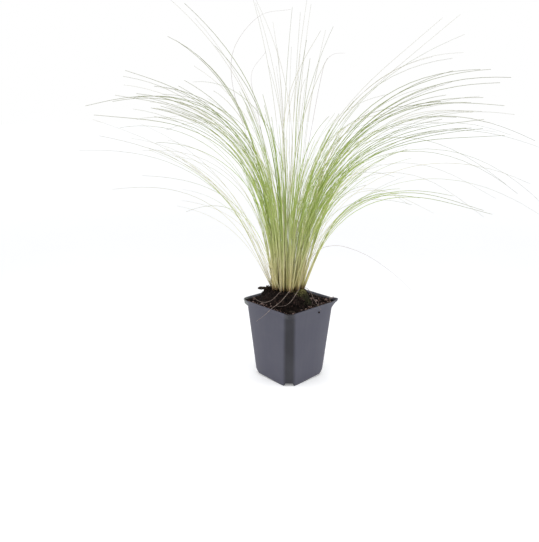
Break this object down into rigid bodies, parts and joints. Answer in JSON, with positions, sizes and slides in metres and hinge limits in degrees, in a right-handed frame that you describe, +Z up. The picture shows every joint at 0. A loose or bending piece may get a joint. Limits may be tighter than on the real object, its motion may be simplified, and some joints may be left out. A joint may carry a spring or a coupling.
{
  "type": "potted mexican feather grass",
  "caption": "Tussock of fine arching feather grass on a mound of peat in a tapered square nursery pot with flattened corners and a flared rim.",
  "frame": {"origin": "centre of the pot's round centre foot, on the pot's axis at floor level", "axes": "+Z up; the pot's sides run along X and Y; the plant's right is the diagonal between +X and +Y, and its front is the diagonal between +X and -Y"},
  "size_m": [0.4703, 0.4322, 0.4713],
  "materials": {
    "pot_plastic": "satin moulded plastic, bluish dark grey",
    "peat": "moist dark brown peat with reddish fibres",
    "grass_leaf": "thin leaf, straw at the base, yellow-green in the middle, pale grey-green at the tip",
    "bark": "rough dark bark"
  },
  "bodies": {
    "root": {"pot": "pot_plastic", "soil": "peat", "tuft_01": "grass_leaf", "tuft_02": "grass_leaf", "tuft_03": "grass_leaf", "tuft_04": "grass_leaf", "tuft_05": "grass_leaf", "tuft_06": "grass_leaf", "tuft_07": "grass_leaf", "tuft_08": "grass_leaf", "tuft_09": "grass_leaf", "tuft_10": "grass_leaf", "tuft_11": "grass_leaf", "tuft_12": "grass_leaf", "tuft_13": "grass_leaf", "tuft_14": "grass_leaf", "tuft_15": "grass_leaf", "tuft_16": "grass_leaf", "bark_1": "bark", "bark_2": "bark", "bark_3": "bark"}
  },
  "joints": []
}
